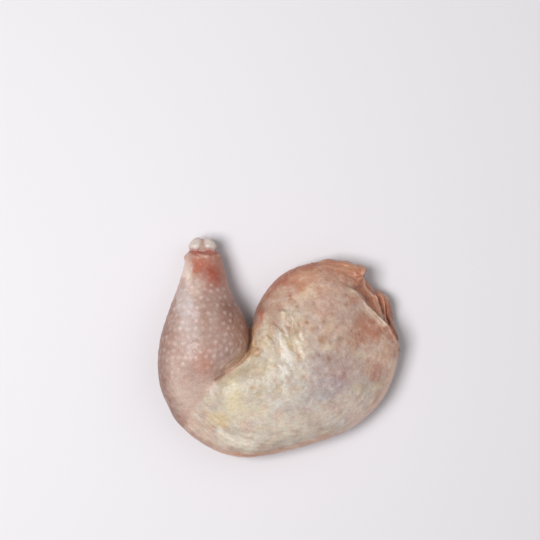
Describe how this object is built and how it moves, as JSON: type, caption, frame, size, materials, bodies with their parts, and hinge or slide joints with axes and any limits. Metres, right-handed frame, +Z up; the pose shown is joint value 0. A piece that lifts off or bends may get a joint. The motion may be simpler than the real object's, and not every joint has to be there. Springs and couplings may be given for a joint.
{
  "type": "raw chicken leg quarter",
  "caption": "Raw chicken leg quarter lying flat, skin side up: drumstick and thigh in one skin, bent at the knee, with the cut hip end and the bare hock joint.",
  "frame": {"origin": "centre of the bounding box's underside, on the surface the leg lies on", "axes": "+X across the thigh to the cut hip end, +Y up the drumstick to the hock, +Z up from the table to the skin side"},
  "size_m": [0.1412, 0.1294, 0.0425],
  "materials": {
    "skin": "satin"
  },
  "bodies": {
    "root": {"leg_quarter": "skin"}
  },
  "joints": []
}
